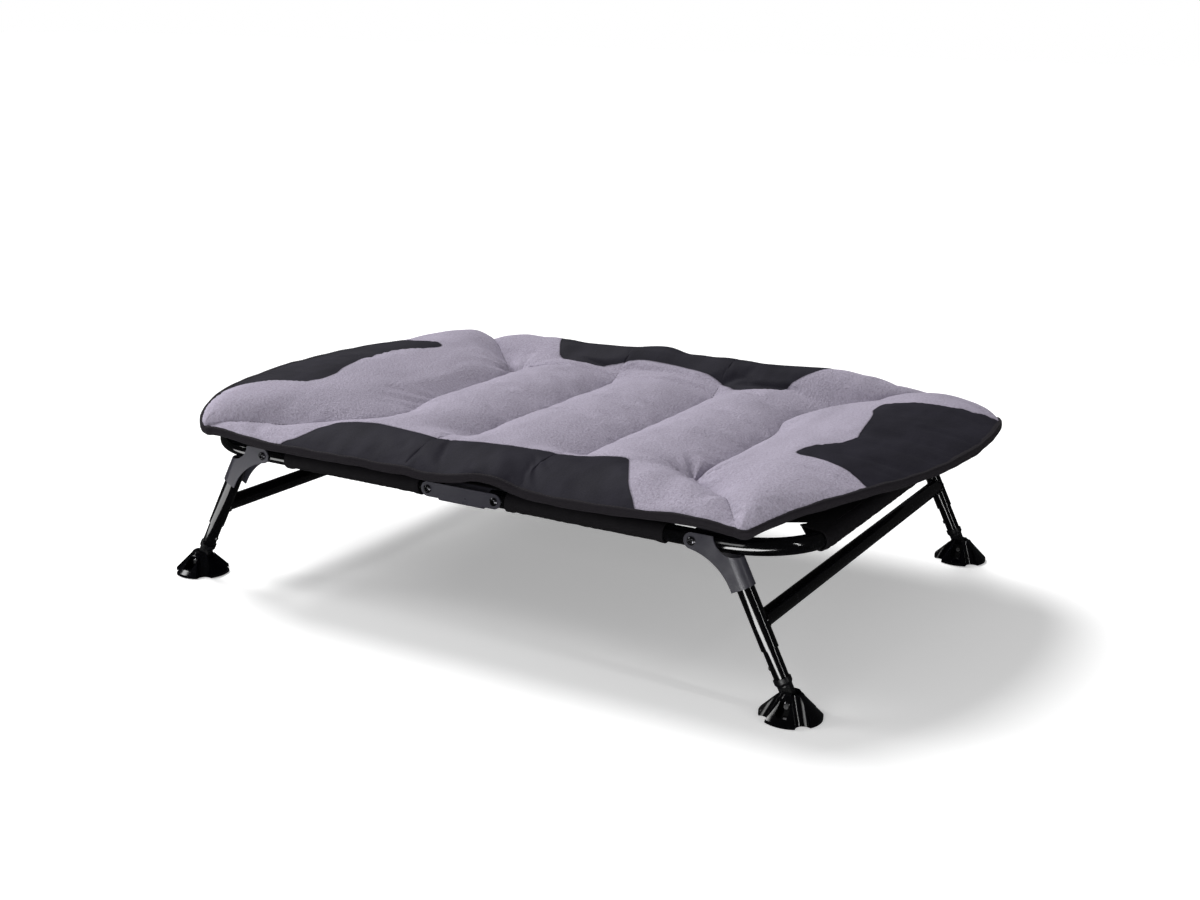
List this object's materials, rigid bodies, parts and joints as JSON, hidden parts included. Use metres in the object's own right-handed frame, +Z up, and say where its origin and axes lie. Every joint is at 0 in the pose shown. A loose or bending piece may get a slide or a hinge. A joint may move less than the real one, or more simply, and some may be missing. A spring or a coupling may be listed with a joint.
{
  "type": "raised dog cot",
  "caption": "Folding raised dog cot: bent tube rails on centre hinge links, folding telescopic legs with swivel feet, a sleeved base sheet and a padded channelled mattress.",
  "frame": {"origin": "on the floor under the middle of the cot", "axes": "+X along the cot towards the right end, -Y towards the front side, +Z up"},
  "size_m": [1.072, 0.747, 0.2668],
  "materials": {
    "gloss_tube": "gloss black paint on steel tube",
    "stamped_plate": "satin dark grey coating on stamped steel",
    "bright_steel": "bright zinc plated steel",
    "moulded_nylon": "moulded black nylon",
    "gloss_plastic": "glossy black moulded plastic",
    "sheet_cloth": "black woven polyester",
    "fleece": "grey fleece with charcoal panels, quilted"
  },
  "bodies": {
    "hinge_links": {"hinge_link_front": "stamped_plate", "hinge_link_rear": "stamped_plate", "hinge_bolts": "bright_steel", "mattress_middle": "fleece", "base_sheet_middle": "sheet_cloth"},
    "left_frame": {"rail_left": "gloss_tube", "rail_plugs_left": "moulded_nylon", "leg_bolts_left": "bright_steel", "base_sheet_left": "sheet_cloth", "sleeves_left": "sheet_cloth", "mattress_left": "fleece"},
    "left_legs": {"crossbar_left": "gloss_tube", "leg_bracket_front_left": "stamped_plate", "leg_bracket_rear_left": "stamped_plate", "outer_leg_front_left": "gloss_tube", "outer_leg_rear_left": "gloss_tube"},
    "right_frame": {"rail_right": "gloss_tube", "rail_plugs_right": "moulded_nylon", "leg_bolts_right": "bright_steel", "base_sheet_right": "sheet_cloth", "sleeves_right": "sheet_cloth", "mattress_right": "fleece"},
    "right_legs": {"crossbar_right": "gloss_tube", "leg_bracket_front_right": "stamped_plate", "leg_bracket_rear_right": "stamped_plate", "outer_leg_front_right": "gloss_tube", "outer_leg_rear_right": "gloss_tube"},
    "front_left_leg": {"inner_leg_front_left": "gloss_tube", "leg_plug_front_left": "moulded_nylon", "plug_rivet_front_left": "bright_steel", "lock_spring_front_left": "bright_steel", "foot_pin_front_left": "bright_steel"},
    "front_left_foot": {"foot_front_left": "gloss_plastic"},
    "front_left_button": {"snap_button_front_left": "bright_steel"},
    "rear_left_leg": {"inner_leg_rear_left": "gloss_tube", "leg_plug_rear_left": "moulded_nylon", "plug_rivet_rear_left": "bright_steel", "lock_spring_rear_left": "bright_steel", "foot_pin_rear_left": "bright_steel"},
    "rear_left_foot": {"foot_rear_left": "gloss_plastic"},
    "rear_left_button": {"snap_button_rear_left": "bright_steel"},
    "front_right_leg": {"inner_leg_front_right": "gloss_tube", "leg_plug_front_right": "moulded_nylon", "plug_rivet_front_right": "bright_steel", "lock_spring_front_right": "bright_steel", "foot_pin_front_right": "bright_steel"},
    "front_right_foot": {"foot_front_right": "gloss_plastic"},
    "front_right_button": {"snap_button_front_right": "bright_steel"},
    "rear_right_leg": {"inner_leg_rear_right": "gloss_tube", "leg_plug_rear_right": "moulded_nylon", "plug_rivet_rear_right": "bright_steel", "lock_spring_rear_right": "bright_steel", "foot_pin_rear_right": "bright_steel"},
    "rear_right_foot": {"foot_rear_right": "gloss_plastic"},
    "rear_right_button": {"snap_button_rear_right": "bright_steel"}
  },
  "joints": [
    {"name": "left_fold", "type": "hinge", "parent": "hinge_links", "child": "left_frame", "pos_m": [-0.051, 0, 0.197], "axis": [0, 1, 0], "range_deg": [0, 80], "deforming": ["mattress_middle", "base_sheet_middle"]},
    {"name": "left_legs_fold", "type": "hinge", "parent": "left_frame", "child": "left_legs", "pos_m": [-0.33, 0, 0.197], "axis": [0, -1, 0], "range_deg": [0, 110]},
    {"name": "right_fold", "type": "hinge", "parent": "hinge_links", "child": "right_frame", "pos_m": [0.051, 0, 0.197], "axis": [0, -1, 0], "range_deg": [0, 80], "deforming": ["mattress_middle", "base_sheet_middle"]},
    {"name": "right_legs_fold", "type": "hinge", "parent": "right_frame", "child": "right_legs", "pos_m": [0.33, 0, 0.197], "axis": [0, 1, 0], "range_deg": [0, 110]},
    {"name": "front_left_leg_slide", "type": "slide", "parent": "left_legs", "child": "front_left_leg", "axis": [-0.454, 0, -0.891], "range_m": [0, 0.05], "deforming": ["snap_button_front_left"]},
    {"name": "front_left_foot_swivel", "type": "hinge", "parent": "front_left_leg", "child": "front_left_foot", "pos_m": [-0.46273, -0.335, 0.018], "axis": [0, 1, 0], "range_deg": [-25, 25]},
    {"name": "front_left_button_press", "type": "slide", "parent": "front_left_leg", "child": "front_left_button", "axis": [0, -1, 0], "range_m": [0, 0.0035], "stiffness_N_per_m": 600, "deforming": ["lock_spring_front_left"]},
    {"name": "rear_left_leg_slide", "type": "slide", "parent": "left_legs", "child": "rear_left_leg", "axis": [-0.454, 0, -0.891], "range_m": [0, 0.05], "deforming": ["snap_button_rear_left"]},
    {"name": "rear_left_foot_swivel", "type": "hinge", "parent": "rear_left_leg", "child": "rear_left_foot", "pos_m": [-0.46273, 0.335, 0.018], "axis": [0, 1, 0], "range_deg": [-25, 25]},
    {"name": "rear_left_button_press", "type": "slide", "parent": "rear_left_leg", "child": "rear_left_button", "axis": [0, 1, 0], "range_m": [0, 0.0035], "stiffness_N_per_m": 600, "deforming": ["lock_spring_rear_left"]},
    {"name": "front_right_leg_slide", "type": "slide", "parent": "right_legs", "child": "front_right_leg", "axis": [0.454, 0, -0.891], "range_m": [0, 0.05], "deforming": ["snap_button_front_right"]},
    {"name": "front_right_foot_swivel", "type": "hinge", "parent": "front_right_leg", "child": "front_right_foot", "pos_m": [0.46273, -0.335, 0.018], "axis": [0, 1, 0], "range_deg": [-25, 25]},
    {"name": "front_right_button_press", "type": "slide", "parent": "front_right_leg", "child": "front_right_button", "axis": [0, -1, 0], "range_m": [0, 0.0035], "stiffness_N_per_m": 600, "deforming": ["lock_spring_front_right"]},
    {"name": "rear_right_leg_slide", "type": "slide", "parent": "right_legs", "child": "rear_right_leg", "axis": [0.454, 0, -0.891], "range_m": [0, 0.05], "deforming": ["snap_button_rear_right"]},
    {"name": "rear_right_foot_swivel", "type": "hinge", "parent": "rear_right_leg", "child": "rear_right_foot", "pos_m": [0.46273, 0.335, 0.018], "axis": [0, 1, 0], "range_deg": [-25, 25]},
    {"name": "rear_right_button_press", "type": "slide", "parent": "rear_right_leg", "child": "rear_right_button", "axis": [0, 1, 0], "range_m": [0, 0.0035], "stiffness_N_per_m": 600, "deforming": ["lock_spring_rear_right"]}
  ]
}
